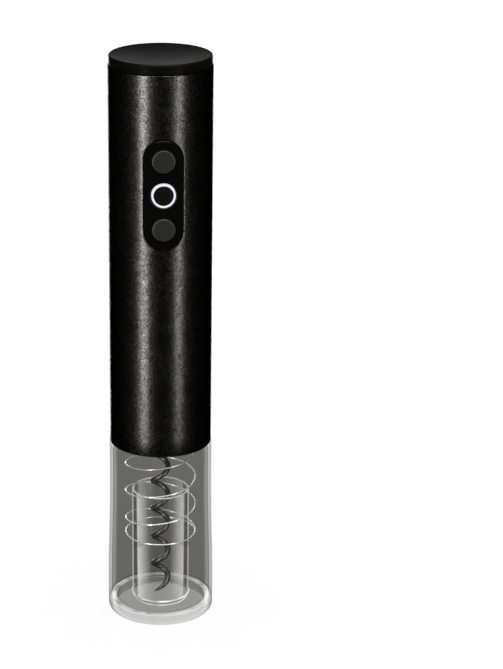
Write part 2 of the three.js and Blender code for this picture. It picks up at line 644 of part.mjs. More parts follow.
function contacts() {
  const [a, b, c, d] = cellPlaces;
  const footZ = CELL_FOOT_Z - 1.15;
  const dimple = 0.85;
  addPart('contact_terminal_plus', contactStrip([d], footZ, dimple), steel);
  addPart('contact_terminal_minus', contactStrip([a], footZ, dimple), steel);
  addPart('contact_bridge', contactStrip([b, c], footZ, dimple), steel);

  const topZ = CELL_FOOT_Z + CELL_LENGTH + 2.75;
  const topDimple = 2.4;
  addPart('cap_contact_front', contactStrip([a, b], topZ, -topDimple), steel);
  addPart('cap_contact_rear', contactStrip([c, d], topZ, -topDimple), steel);
}

// A dished lid on a long spigot, and the disc inside it that carries the contact strips.
function batteryCap() {
  const rimR = 22.6;
  const roofZ = CAP_TOP_Z - 2.6;
  const spigotR = TUBE_BORE_R - GAP;
  const spigotBoreR = spigotR - 1.5;
  const spigotFootZ = 245.2;
  const seatZ = TUBE_TOP_Z + GAP;
  const dish = 1.1;
  addPart('battery_cap', turned([
    [0, roofZ], [spigotBoreR, roofZ], [spigotBoreR, spigotFootZ], [spigotR, spigotFootZ],
    [spigotR, seatZ], [rimR, seatZ], [rimR, CAP_TOP_Z - 0.7], [rimR - 0.25, CAP_TOP_Z - 0.15],
    [rimR - 0.8, CAP_TOP_Z], [rimR - 1.4, CAP_TOP_Z - 0.25], [rimR - 8, CAP_TOP_Z - 0.9 * dish],
    [0, CAP_TOP_Z - dish],
  ], SMOOTH), blackPlastic);
  const carrierZ = spigotFootZ + 1.7;
  addPart('contact_carrier', ring(0, spigotBoreR - GAP, carrierZ, carrierZ + 2.1, 24), greyPlastic);
}

// ---------------------------------------------------------------- controls
const CONTROL_Z = { down: PANEL_Z - BUTTON_SPACING, ring: PANEL_Z, up: PANEL_Z + BUTTON_SPACING };
const IN_FRONT_Y = -30; // clear of the tube's front
const INSIDE_Y = -10; // clear of the panel's back

// A curved wall as wide as the tube's front, and as tall as the controls need.
const frontWall = (innerR, outerR, segments) => ring(innerR, outerR, PANEL_Z - 30, PANEL_Z + 30, segments);

// A plate that fills the tube's window, with a wider flange behind it and a well for each control.
function controlPanel() {
  const flange = { margin: 3, innerR: 20.5, outerR: 21.7 };
  const wellFootR = 21.75;
  const outline = (margin) => stadium(PANEL_WIDTH + margin, PANEL_HEIGHT + margin, IN_FRONT_Y, INSIDE_Y);
  let panel = frontWall(FLANGE_FOOT_R, PANEL_R, 72).intersect(outline(0));
  panel = panel.add(frontWall(flange.innerR, flange.outerR, 48).intersect(outline(flange.margin)));
  for (const z of Object.values(CONTROL_Z)) {
    panel = panel.subtract(barAlongY(WELL_R, IN_FRONT_Y, INSIDE_Y, 0, z, 20));
    panel = panel.subtract(barAlongY(FLANGE_R + GAP, -wellFootR, INSIDE_Y, 0, z, 16));
  }
  addPart('control_panel', panel, blackPlastic);
}

// The ring and its cap are cut to the panel's own curve.
function lightRing() {
  const proudR = 24;
  const floorR = FLANGE_FACE_R + 0.3;
  const skin = frontWall(0, PANEL_R, 72);
  const guide = turned([
    [0, FLANGE_FOOT_R], [FLANGE_R, FLANGE_FOOT_R], [FLANGE_R, FLANGE_FACE_R], [LIGHT_RING_R, FLANGE_FACE_R],
    [LIGHT_RING_R, proudR], [LIGHT_RING_BORE_R, proudR], [LIGHT_RING_BORE_R, floorR], [0, floorR],
  ], 20);
  addPart('light_ring', facingFront(guide, CONTROL_Z.ring).intersect(skin), lightGuide);
  const centreCap = ring(0, LIGHT_RING_BORE_R - FIT, floorR + GAP, proudR, 24);
  addPart('ring_cap', facingFront(centreCap, CONTROL_Z.ring).intersect(skin), blackPlastic);
}

// A push button, with the switch that it presses.
function buttonAndSwitch(which) {
  const z = CONTROL_Z[which];
  const button = turned([
    [0, FLANGE_FOOT_R], [FLANGE_R, FLANGE_FOOT_R], [FLANGE_R, FLANGE_FACE_R], [BUTTON_R, FLANGE_FACE_R],
    [BUTTON_R, BUTTON_FACE - 0.5], [BUTTON_R - 0.15, BUTTON_FACE - 0.15], [BUTTON_R - 0.5, BUTTON_FACE],
    [0, BUTTON_FACE],
  ], 20);
  addPart(`button_${which}`, facingFront(button, z), softBlack);

  const side = 6;
  const baseFootR = BOARD_FACE_R + GAP;
  const baseTopR = 20;
  const plunger = { r: 1.6, footR: 19.4, topR: FLANGE_FOOT_R - GAP };
  const alongY = (r, fromR, toR) => barAlongY(r, -toR, -fromR, 0, z, 12);
  const base = block(side, baseTopR - baseFootR, side, 0, -(baseTopR + baseFootR) / 2, z)
    .subtract(alongY(plunger.r + GAP, BOARD_FACE_R + 0.8, baseTopR + 1));
  addPart(`switch_base_${which}`, base, blackPlastic);
  addPart(`switch_plunger_${which}`, alongY(plunger.r, plunger.footR, plunger.topR), whitePlastic);
}

function circuitBoard() {
  const board = { width: 15.6, height: 44.5, y: -BOARD_FACE_R + BOARD_THICKNESS / 2, z: PANEL_Z + 1.5 };
  const led = { width: 3.5, depth: 1, height: 2.8 };
  const chip = { width: 5, depth: 1.2, height: 4, x: 2.5, z: PANEL_Z - 7.5 };
  const onFace = (part, x, z) => {
    return block(part.width, part.depth, part.height, x, -(BOARD_FACE_R + GAP + part.depth / 2), z);
  };
  const plate = block(board.width, BOARD_THICKNESS, board.height, 0, board.y, board.z);
  addPart('circuit_board', plate, boardGreen);
  addPart('ring_led', onFace(led, 0, CONTROL_Z.ring), whitePlastic);
  addPart('motor_driver_chip', onFace(chip, chip.x, chip.z), blackPlastic);
}

// ---------------------------------------------------------------- internal leads
// Each lead runs from the back of the circuit board to the motor's end cap or to a battery terminal.
function leads() {
  const radius = 0.6;
  const startY = -BOARD_FACE_R + BOARD_THICKNESS + radius + 0.05;
  const motorLead = (side) => [
    [2 * side, startY, 185.6], [2.4 * side, -14.6, 186.6], [6 * side, -10, 188],
    [8 * side, -3, 187.9], [8 * side, 0, 187.5],
  ];
  const toPlus = [
    [-5.4, startY, 186.6], [-6, -14.6, 187.6], [-10.5, -9, 188.3],
    [-12, 2, 188.4], [-9.5, CELL_OFFSET, 188.4],
  ];
  const toMinus = [
    [5.4, startY, 186.6], [6, -14.6, 187.6], [9.6, -11.5, 188.3], [12, -CELL_OFFSET, 188.4],
  ];
  const runs = [
    ['motor_lead_red', redWire, motorLead(1)],
    ['motor_lead_black', blackWire, motorLead(-1)],
    ['battery_lead_red', redWire, toPlus],
    ['battery_lead_black', blackWire, toMinus],
  ];
  for (const [name, material, points] of runs) {
    const curve = new THREE.CatmullRomCurve3(points.map((p) => new THREE.Vector3(...p)));
    addPart(name, wire(curve, radius, 10, 5), material);
  }
}

bodyTube();
bottleSkirt();
chassis();
corkSleeve();
returnSpring();
wormAndShaft();
gearboxHousing();
planets();
carriers();
motorMount();
motorMagnets();
motorRotor();
batteries();
batteryHolder();
contacts();
batteryCap();
controlPanel();
lightRing();
buttonAndSwitch('up');
buttonAndSwitch('down');
circuitBoard();
leads();

export default opener;
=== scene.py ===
"""The looks of an electric wine opener, built round its CAD frame. Metres, +Z up, the buttons face -Y."""
import json
import math

import bmesh
import bpy
from mathutils import Matrix, Vector


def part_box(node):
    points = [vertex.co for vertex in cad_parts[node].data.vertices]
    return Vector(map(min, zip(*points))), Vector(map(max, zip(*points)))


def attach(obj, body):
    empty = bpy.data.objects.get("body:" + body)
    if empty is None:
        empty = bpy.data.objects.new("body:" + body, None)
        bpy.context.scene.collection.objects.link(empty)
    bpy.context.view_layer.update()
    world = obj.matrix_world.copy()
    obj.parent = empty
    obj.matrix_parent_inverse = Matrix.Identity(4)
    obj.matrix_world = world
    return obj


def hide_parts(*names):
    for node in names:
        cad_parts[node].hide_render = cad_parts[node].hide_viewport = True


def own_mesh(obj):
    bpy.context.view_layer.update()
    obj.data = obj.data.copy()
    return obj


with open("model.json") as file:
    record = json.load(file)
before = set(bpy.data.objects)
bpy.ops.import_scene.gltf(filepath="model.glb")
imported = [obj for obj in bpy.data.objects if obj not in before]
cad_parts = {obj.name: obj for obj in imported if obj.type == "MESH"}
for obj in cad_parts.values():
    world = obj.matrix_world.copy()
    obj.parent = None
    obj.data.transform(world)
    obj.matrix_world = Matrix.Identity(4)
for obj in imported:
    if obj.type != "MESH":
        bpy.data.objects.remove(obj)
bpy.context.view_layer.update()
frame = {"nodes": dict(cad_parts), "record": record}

MM = 0.001
SIDES = 160  # facets round the large turned pieces

# ---------------------------------------------------------------- sizes, from the frame
box = {name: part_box(name) for name in frame["nodes"]}


def low(node, axis=2):
    """Where a node starts along an axis: its lower end, when none is given."""
    return box[node][0][axis]


def high(node, axis=2):
    """Where a node ends along an axis: its upper end, when none is given."""
    return box[node][1][axis]


def middle(node):
    """The height of a node's middle."""
    return (low(node) + high(node)) / 2


def high_r(node):
    """How far a front piece reaches from the opener's axis."""
    return -low(node, 1)


TUBE_R = high("body_tube", 0)
TUBE_WALL = 1.0 * MM
FIT = 0.3 * MM  # the gap between the tube and what plugs into it
PLUG_R = TUBE_R - TUBE_WALL - FIT
FOOT_R = high("bottle_skirt", 0)
SKIRT_WALL = 1.4 * MM
PANEL_HEIGHT = 48.7 * MM
PANEL_WIDTH = 17.0 * MM
PANEL_Z = middle("light_ring")
LAMP_AIM_Z = 0.13  # the height that the lamps face


# ---------------------------------------------------------------- camera, lights and floor
def make_camera():
    """Looks down at the opener from a little to the left of its buttons."""
    distance = 0.958  # level distance from the axis
    aim_z = 0.1335
    pitch = math.radians(19.7)
    azimuth = math.radians(-3.4)
    data = bpy.data.cameras.new("camera")
    data.sensor_width = 36.0
    data.lens = 122.0
    data.shift_x = 0.136
    data.dof.use_dof = False
    camera = bpy.data.objects.new("camera", data)
    back = Vector((
        math.sin(azimuth) * math.cos(pitch),
        -math.cos(azimuth) * math.cos(pitch),
        math.sin(pitch),
    ))
    camera.location = Vector((0, 0, aim_z)) + back * (distance / math.cos(pitch))
    camera.rotation_mode = "QUATERNION"
    camera.rotation_quaternion = (-back).to_track_quat("-Z", "Y")
    bpy.context.collection.objects.link(camera)
    bpy.context.scene.camera = camera


def soft_box(name, azimuth, elevation, distance, width, height, power, only=None, skip=None):
    """A rectangular light that faces the middle of the opener, unseen by the camera.

    only names the pieces that it lights, and skip the ones that it doesn't.
    """
    data = bpy.data.lights.new(name, "AREA")
    data.shape = "RECTANGLE"
    data.size = width
    data.size_y = height
    data.energy = power
    light = bpy.data.objects.new(name, data)
    a, e = math.radians(azimuth), math.radians(elevation)
    back = Vector((math.sin(a) * math.cos(e), -math.cos(a) * math.cos(e), math.sin(e)))
    light.location = Vector((0, 0, LAMP_AIM_Z)) + back * distance
    light.rotation_mode = "QUATERNION"
    light.rotation_quaternion = back.to_track_quat("Z", "Y")
    light.visible_camera = False
    bpy.context.collection.objects.link(light)
    named = bpy.data.collections.new(name)
    for piece in only or skip:
        named.objects.link(bpy.data.objects[piece])
    light.light_linking.receiver_collection = named
    if skip:
        for entry in named.collection_objects:
            entry.light_linking.link_state = "EXCLUDE"


def make_world():
    """A white studio that polished and black surfaces see only dimly, as if flags stood round the opener."""
    world = bpy.data.worlds.new("studio")
    world.use_nodes = True
    tree = world.node_tree
    tree.nodes.clear()
    output = tree.nodes.new("ShaderNodeOutputWorld")
    backgrounds = []
    for strength in (1.08, 0.03):
        background = tree.nodes.new("ShaderNodeBackground")
        background.inputs["Color"].default_value = (1, 1, 1, 1)
        background.inputs["Strength"].default_value = strength
        backgrounds.append(background.outputs[0])
    glossy = tree.nodes.new("ShaderNodeLightPath").outputs["Is Glossy Ray"]
    tree.links.new(mixed_shader(tree, glossy, *backgrounds), output.inputs["Surface"])
    world.cycles.sampling_method = "NONE"
    bpy.context.scene.world = world


def make_floor():
    """A pale matt floor that only the world lights."""
    bpy.ops.mesh.primitive_plane_add(size=30, location=(0, 0, 0))
    floor = bpy.context.object
    floor.name = "floor"
    material = bpy.data.materials.new("floor")
    material.use_nodes = True
    shader = material.node_tree.nodes["Principled BSDF"]
    shader.inputs["Base Color"].default_value = (0.98, 0.98, 0.98, 1)
    shader.inputs["Roughness"].default_value = 0.9
    shader.inputs["Specular IOR Level"].default_value = 0.0
    floor.data.materials.append(material)
    floor.visible_glossy = False
    floor.visible_shadow = False


def make_studio():
    """Tall strips in front and behind for the black tube's bands, and soft light above and on the cap."""
    make_world()
    make_floor()
    unlit_by_rear = ["floor", "dished_cap", "clear_skirt"]
    unlit_by_front = unlit_by_rear + ["panel_plate"]
    soft_box("strip_left", -40, 5, 0.9, 0.16, 1.05, 14, skip=unlit_by_front)
    soft_box("strip_right", 37, 6, 0.9, 0.16, 1.0, 7, skip=unlit_by_front)
    soft_box("rear_left", -168, 5, 0.9, 0.10, 1.05, 5, skip=unlit_by_rear)
    soft_box("rear_right", 166, 5, 0.9, 0.10, 1.05, 3, skip=unlit_by_rear)
    soft_box("overhead", 0, 66, 1.2, 1.4, 0.6, 24, skip=["floor"])
    # The cap's side gets low lamps of its own, so that its top never mirrors a strip.
    low_lamps = (("left", -40, 0.7), ("right", 37, 0.4), ("rear_left", -168, 0.4), ("rear_right", 166, 0.3))
    for side, azimuth, power in low_lamps:
        soft_box(f"cap_{side}", azimuth, -7, 0.9, 0.16, 0.2, power, only=["dished_cap"])
    soft_box("card_behind", 170, 10, 1.0, 1.2, 0.35, 0.58, only=["dished_cap"])
    scene = bpy.context.scene
    scene.view_settings.view_transform = "Standard"
    scene.view_settings.look = "None"
    scene.cycles.transparent_max_bounces = 32
    scene.cycles.min_transparent_bounces = 32
    scene.cycles.max_bounces = 12


# ---------------------------------------------------------------- node helpers
def new_material(name):
    """A material with its node tree and its shader."""
    material = bpy.data.materials.new(name)
    material.use_nodes = True
    tree = material.node_tree
    return material, tree, tree.nodes["Principled BSDF"]


def object_position(tree):
    """Where a point lies on its piece, so that a pattern moves with the piece."""
    return tree.nodes.new("ShaderNodeTexCoord").outputs["Object"]


def stretched(tree, vector, scale):
    """vector, scaled along each axis. A smaller number draws a pattern out along that axis."""
    mapping = tree.nodes.new("ShaderNodeMapping")
    mapping.inputs["Scale"].default_value = scale
    tree.links.new(vector, mapping.inputs["Vector"])
    return mapping.outputs["Vector"]


def noise(tree, vector, scale, detail=3.0, rough=0.6):
    """Soft random clouds from 0 to 1. A larger scale gives finer ones."""
    node = tree.nodes.new("ShaderNodeTexNoise")
    node.inputs["Scale"].default_value = scale
    node.inputs["Detail"].default_value = detail
    node.inputs["Roughness"].default_value = rough
    tree.links.new(vector, node.inputs["Vector"])
    return node.outputs["Fac"]


def ramp(tree, value, low_at, high_at, low_to, high_to):
    """value, mapped from low_at..high_at to low_to..high_to and held at the ends."""
    node = tree.nodes.new("ShaderNodeMapRange")
    node.inputs["From Min"].default_value = low_at
    node.inputs["From Max"].default_value = high_at
    node.inputs["To Min"].default_value = low_to
    node.inputs["To Max"].default_value = high_to
    tree.links.new(value, node.inputs["Value"])
    return node.outputs["Result"]


def blended(tree, factor, colour_a, colour_b):
    """A mix of two plain colours."""
    node = tree.nodes.new("ShaderNodeMix")
    node.data_type = "RGBA"
    node.inputs["A"].default_value = (*colour_a, 1)
    node.inputs["B"].default_value = (*colour_b, 1)
    tree.links.new(factor, node.inputs["Factor"])
    return node.outputs["Result"]


def mixed_colour(tree, factor, colour_a, colour_b):
    """A mix of the colours that two sockets give."""
    node = tree.nodes.new("ShaderNodeMix")
    node.data_type = "RGBA"
    tree.links.new(factor, node.inputs["Factor"])
    tree.links.new(colour_a, node.inputs["A"])
    tree.links.new(colour_b, node.inputs["B"])
    return node.outputs["Result"]


def mixed_shader(tree, factor, shader_a, shader_b):
    """A mix of the shaders that two sockets give."""
    node = tree.nodes.new("ShaderNodeMixShader")
    tree.links.new(factor, node.inputs["Fac"])
    tree.links.new(shader_a, node.inputs[1])
    tree.links.new(shader_b, node.inputs[2])
    return node.outputs[0]


def bump(tree, height, shader, distance, strength):
    """Relief on a shader's surface, distance metres deep."""
    node = tree.nodes.new("ShaderNodeBump")
    node.inputs["Strength"].default_value = strength
    node.inputs["Distance"].default_value = distance
    tree.links.new(height, node.inputs["Height"])
    tree.links.new(node.outputs["Normal"], shader.inputs["Normal"])


# ---------------------------------------------------------------- materials
def body_paint():
    """Satin black with fine metal flakes that catch the light one by one."""
    material, tree, shader = new_material("body_paint")
    where = object_position(tree)
    flake = noise(tree, where, 1900, 2.0, 0.7)
    cloud = noise(tree, where, 120, 2.0)
    flake_share = ramp(tree, flake, 0.42, 0.68, 0, 1)
    dark, bright = (0.006, 0.006, 0.0055), (0.072, 0.070, 0.066)
    tree.links.new(blended(tree, flake_share, dark, bright), shader.inputs["Base Color"])
    tree.links.new(ramp(tree, cloud, 0.3, 0.7, 0.25, 0.29), shader.inputs["Roughness"])
    shader.inputs["Metallic"].default_value = 1.0
    shader.inputs["Specular Tint"].default_value = (0.12, 0.12, 0.12, 1)
    bump(tree, flake, shader, 0.04 * MM, 0.7)
    return material


def moulded(name, colour, roughness, grain_mm=0.25, depth_mm=0.006, specular=0.35):
    """Moulded plastic: a fine spark-eroded grain, and small differences in colour and gloss."""
    material, tree, shader = new_material(name)
    where = object_position(tree)
    grain = noise(tree, where, 1 / (grain_mm * MM), 2.0)
    patch = noise(tree, where, 90, 3.0)
    darker = tuple(c * 0.82 for c in colour)
    lighter = tuple(min(1, c * 1.12) for c in colour)
    tree.links.new(blended(tree, patch, darker, lighter), shader.inputs["Base Color"])
    gloss = ramp(tree, patch, 0.3, 0.7, roughness - 0.04, roughness + 0.04)
    tree.links.new(gloss, shader.inputs["Roughness"])
    shader.inputs["Specular IOR Level"].default_value = specular
    bump(tree, grain, shader, depth_mm * MM, 0.5)
    return material


def metal(name, colour, roughness, streak=(900, 900, 60), depth_mm=0.002, metallic=1.0):
    """Bare or plated metal with faint drawn or turned lines."""
    material, tree, shader = new_material(name)
    where = object_position(tree)
    lines = noise(tree, stretched(tree, where, streak), 1.0, 4.0)
    darker = tuple(c * 0.85 for c in colour)
    tree.links.new(blended(tree, lines, darker, colour), shader.inputs["Base Color"])
    gloss = ramp(tree, lines, 0.3, 0.7, roughness - 0.05, roughness + 0.07)
    tree.links.new(gloss, shader.inputs["Roughness"])
    shader.inputs["Metallic"].default_value = metallic
    bump(tree, lines, shader, depth_mm * MM, 0.4)
    return material


def battery_cell():
    """A cell's printed sleeve round its side, and bare tinned steel on its flat ends."""
    material, tree, shader = new_material("cell")
    where = object_position(tree)
    normal = tree.nodes.new("ShaderNodeSeparateXYZ")
    tree.links.new(tree.nodes.new("ShaderNodeTexCoord").outputs["Normal"], normal.inputs[0])
    flat = tree.nodes.new("ShaderNodeMath")
    flat.operation = "ABSOLUTE"
    tree.links.new(normal.outputs["Z"], flat.inputs[0])
    end = ramp(tree, flat.outputs[0], 0.6, 0.8, 0, 1)
    wear = noise(tree, where, 700, 4.0)
    sleeve = blended(tree, wear, (0.045, 0.05, 0.065), (0.055, 0.06, 0.075))
    steel = blended(tree, wear, (0.42, 0.42, 0.42), (0.58, 0.58, 0.57))
    tree.links.new(mixed_colour(tree, end, sleeve, steel), shader.inputs["Base Color"])
    tree.links.new(end, shader.inputs["Metallic"])
    tree.links.new(ramp(tree, wear, 0.3, 0.7, 0.28, 0.4), shader.inputs["Roughness"])
    bump(tree, wear, shader, 0.004 * MM, 0.4)
    return material


def clear_plastic(name, through, grazing, mirror=0.0015, rim=0.1, roughness=0.08, painted_sheen=None, painted_glow=0.0):
    """Clear plastic: light goes straight through, tinted at a slant, and its edges mirror the lights.

    mirror and rim are the shares of light that it mirrors face on and at its edge.
    painted_sheen is a painted sheen, a white diffuse band where the face turns away that stands in for
    highlights: the slants where it starts, peaks and ends, its share, and the share of a painted highlight
    line at the very edge.
    painted_glow is the share of painted glow: white diffuse in soft streaks, standing in for the light that a
    thick clear piece gathers inside it.
    """
    material = bpy.data.materials.new(name)
    material.use_nodes = True
    tree = material.node_tree
    tree.nodes.clear()
    output = tree.nodes.new("ShaderNodeOutputMaterial")
    facing = tree.nodes.new("ShaderNodeLayerWeight").outputs["Facing"]
    where = object_position(tree)
    smear = noise(tree, stretched(tree, where, (1, 1, 0.3)), 160, 3.0)
    tint = blended(tree, ramp(tree, facing, 0.58, 0.74, 0, 1), through, grazing)
    wavy = tree.nodes.new("ShaderNodeMix")
    wavy.data_type = "RGBA"
    wavy.blend_type = "MULTIPLY"
    wavy.inputs["Factor"].default_value = 1.0
    tree.links.new(tint, wavy.inputs["A"])
    tree.links.new(blended(tree, smear, (0.96, 0.96, 0.96), (1, 1, 1)), wavy.inputs["B"])
    clear = tree.nodes.new("ShaderNodeBsdfTransparent")
    tree.links.new(wavy.outputs["Result"], clear.inputs["Color"])
    body = clear.outputs[0]
    # White diffuse that the painted glow and the painted sheen below are made of.
    if painted_glow or painted_sheen:
        cloud = tree.nodes.new("ShaderNodeBsdfDiffuse")
        cloud.inputs["Color"].default_value = (0.9, 0.9, 0.9, 1)
    # Painted glow: white diffuse in soft streaks, in place of the light that thick clear plastic gathers
    # inside it.
    if painted_glow:
        streaks = noise(tree, stretched(tree, where, (1, 1, 0.25)), 130, 2.0)
        glow_amount = ramp(tree, streaks, 0.35, 0.65, painted_glow * 0.4, painted_glow * 1.6)
        body = mixed_shader(tree, glow_amount, body, cloud.outputs[0])
    # Painted sheen: a white diffuse band where the face turns away, and a painted highlight line at the very
    # edge.
    if painted_sheen:
        start, peak, end, share, edge_highlight = painted_sheen
        rise = ramp(tree, facing, start, peak, 0, share)
        fall = ramp(tree, facing, peak, end, 1, 0)
        both = tree.nodes.new("ShaderNodeMath")
        both.operation = "MULTIPLY_ADD"
        tree.links.new(rise, both.inputs[0])
        tree.links.new(fall, both.inputs[1])
        tree.links.new(ramp(tree, facing, 0.72, 0.82, 0, edge_highlight), both.inputs[2])
        body = mixed_shader(tree, both.outputs[0], body, cloud.outputs[0])
    gloss = tree.nodes.new("ShaderNodeBsdfGlossy")
    gloss.inputs["Color"].default_value = (1, 1, 1, 1)
    tree.links.new(ramp(tree, smear, 0.3, 0.7, roughness * 0.7, roughness * 1.3), gloss.inputs["Roughness"])
    power = tree.nodes.new("ShaderNodeMath")
    power.operation = "POWER"
    power.inputs[1].default_value = 5.0
    tree.links.new(facing, power.inputs[0])
    share = ramp(tree, power.outputs[0], 0, 1, mirror, rim)
    tree.links.new(mixed_shader(tree, share, body, gloss.outputs[0]), output.inputs["Surface"])
    return material


def glowing(name, colour, strength):
    """Frosted plastic lit from inside."""
    material, tree, shader = new_material(name)
    where = object_position(tree)
    mottle = noise(tree, where, 900, 2.0)
    dark, bright = (tuple(c * share for c in colour) for share in (0.05, 0.07))
    tree.links.new(blended(tree, mottle, dark, bright), shader.inputs["Base Color"])
    shader.inputs["Emission Color"].default_value = (*colour, 1)
    shader.inputs["Emission Strength"].default_value = strength
    shader.inputs["Roughness"].default_value = 0.45
    return material


PAINT = body_paint()
CAP_BLACK = moulded("satin_black_plastic", (0.0018, 0.0018, 0.0016), 0.32, 0.3, 0.003, 0.06)
PANEL_BLACK = moulded("panel_black_plastic", (0.0014, 0.0014, 0.0012), 0.22, 0.3, 0.002, 0.2)
BUTTON_BLACK = moulded("button_plastic", (0.006, 0.006, 0.0055), 0.3, 0.25, 0.003, 0.2)
INNER_BLACK = moulded("inner_black_plastic", (0.02, 0.02, 0.02), 0.5)
GREY = moulded("grey_plastic", (0.13, 0.13, 0.135), 0.55)
ACETAL = moulded("gear_plastic", (0.75, 0.75, 0.70), 0.4)
BOARD = moulded("board", (0.02, 0.12, 0.05), 0.35)
CELL = battery_cell()
FERRITE = moulded("ferrite", (0.05, 0.05, 0.055), 0.7)
RED_WIRE = moulded("red_wire", (0.45, 0.03, 0.02), 0.4)
BLACK_WIRE = moulded("black_wire", (0.02, 0.02, 0.02), 0.4)
SPRING_STEEL = metal("spring_steel", (0.92, 0.92, 0.92), 0.22, metallic=0.6)
WORM_STEEL = metal("worm_steel", (0.16, 0.157, 0.15), 0.36, metallic=0.8)
MACHINED = metal("machined_steel", (0.55, 0.56, 0.57), 0.3)
PLATED = metal("plated_steel", (0.66, 0.67, 0.69), 0.25)
BRONZE = metal("bronze", (0.55, 0.36, 0.16), 0.35)
COPPER = metal("copper", (0.60, 0.28, 0.13), 0.35)
CLEAR_OUTSIDE = clear_plastic("clear_plastic", (0.98, 0.98, 0.98), (0.70, 0.70, 0.70))
SMOKED_INSIDE = clear_plastic("clear_plastic_smoked", (0.39, 0.389, 0.383), (0.62, 0.62, 0.61))
SLEEVE_GLOSS = {"mirror": 0.003, "rim": 0.2, "roughness": 0.14}
# The sleeve's sides carry a painted sheen, with a painted highlight line at their edge.
SLEEVE_CLEAR = clear_plastic("clear_sleeve", (0.96, 0.96, 0.96), (0.9, 0.9, 0.9), **SLEEVE_GLOSS,
                             painted_sheen=(0.14, 0.45, 0.50, 0.56, 0.6))
BORE_CLEAR = clear_plastic("clear_bore", (0.88, 0.88, 0.88), (0.92, 0.92, 0.92), **SLEEVE_GLOSS)
# The sleeve's rims carry painted glow, so that they read as bright outlines.
RIM_CLEAR = clear_plastic("clear_rim", (0.9, 0.9, 0.9), (0.9, 0.9, 0.9), **SLEEVE_GLOSS, painted_glow=0.6)
LUG_CLEAR = clear_plastic("clear_lug", (0.9, 0.9, 0.9), (0.8, 0.8, 0.8), 0.004, 0.3, 0.14)
DISC_CLEAR = clear_plastic("clear_disc", (0.96, 0.96, 0.96), (0.95, 0.95, 0.95), 0.004, 0.3, 0.1)
FOOT_GLOSS = {"mirror": 0.002, "rim": 0.1, "roughness": 0.1}
# The foot ring carries painted glow in soft streaks, strongest on its top face.
FOOT_CLEAR = clear_plastic("clear_foot", (0.76, 0.76, 0.76), (0.48, 0.48, 0.48), **FOOT_GLOSS, painted_glow=0.04)
FOOT_BORE = clear_plastic("clear_foot_bore", (0.72, 0.72, 0.72), (0.6, 0.6, 0.6), **FOOT_GLOSS, painted_glow=0.11)
FOOT_TOP = clear_plastic("clear_foot_top", (0.9, 0.9, 0.9), (0.8, 0.8, 0.8), **FOOT_GLOSS, painted_glow=0.8)
LIT_RING = glowing("light_guide", (0.86, 0.87, 0.98), 0.80)

BY_SLOT = {
    "body_paint": PAINT, "satin_black_plastic": CAP_BLACK, "button_plastic": BUTTON_BLACK,
    "clear_plastic": CLEAR_OUTSIDE, "light_guide": LIT_RING, "grey_plastic": GREY,
    "inner_black_plastic": INNER_BLACK, "gear_plastic": ACETAL, "spring_steel": SPRING_STEEL,
    "worm_steel": WORM_STEEL, "machined_steel": MACHINED, "plated_steel": PLATED, "bronze": BRONZE,
    "copper": COPPER, "ferrite": FERRITE, "board": BOARD, "cell": CELL, "red_wire": RED_WIRE,
    "black_wire": BLACK_WIRE,
}


def dress_cad_nodes():
    """Every CAD node gets the material of its slot in the record."""
    slots = {part["node"]: part["material_slot"] for part in frame["record"]["subparts"]}
    for name, node in frame["nodes"].items():
        material = BY_SLOT[slots[name]]
        if not node.material_slots:
            node.data.materials.append(material)
        for place in node.material_slots:
            place.material = material


# ---------------------------------------------------------------- mesh helpers
def finish_mesh(name, mesh, materials, body, replaced, smooth_angle=35):
    """Links a bmesh as a smooth-shaded piece that rides on a body and stands for the replaced nodes."""
    bmesh.ops.remove_doubles(mesh, verts=mesh.verts, dist=1e-7)
    bmesh.ops.recalc_face_normals(mesh, faces=mesh.faces)
    data = bpy.data.meshes.new(name)
    mesh.to_mesh(data)
    mesh.free()
    for material in materials:
        data.materials.append(material)
    data.shade_smooth()
    data.set_sharp_from_angle(angle=math.radians(smooth_angle))
    piece = bpy.data.objects.new(name, data)
    bpy.context.collection.objects.link(piece)
    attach(piece, body)
    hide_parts(*replaced)
    return piece


def turn(profile, sides=SIDES, zones=None):
    """A closed [radius, z] profile turned about Z. zones holds a material index for each of its edges."""
    mesh = bmesh.new()
    rings = []
    for r, z in profile:
        if r < 1e-9:
            rings.append([mesh.verts.new((0, 0, z))])
            continue
        angles = [2 * math.pi * i / sides for i in range(sides)]
        rings.append([mesh.verts.new((r * math.cos(a), r * math.sin(a), z)) for a in angles])
    count = len(profile)
    for i in range(count):
        a, b = rings[i], rings[(i + 1) % count]
        if len(a) == 1 and len(b) == 1:
            continue
        for k in range(sides):
            corners = [a[k % len(a)], a[(k + 1) % len(a)], b[(k + 1) % len(b)], b[k % len(b)]]
            corners = [v for j, v in enumerate(corners) if v not in corners[:j]]
            face = mesh.faces.new(corners)
            face.material_index = zones[i] if zones else 0
    return mesh


def arc(centre_r, centre_z, radius, start, end, steps=6):
    """Points on a round corner of a profile. Angles are in degrees, 0 pointing outwards and 90 up."""
    points = []
    for i in range(steps + 1):
        a = math.radians(start + (end - start) * i / steps)
        points.append((centre_r + radius * math.cos(a), centre_z + radius * math.sin(a)))
    return points


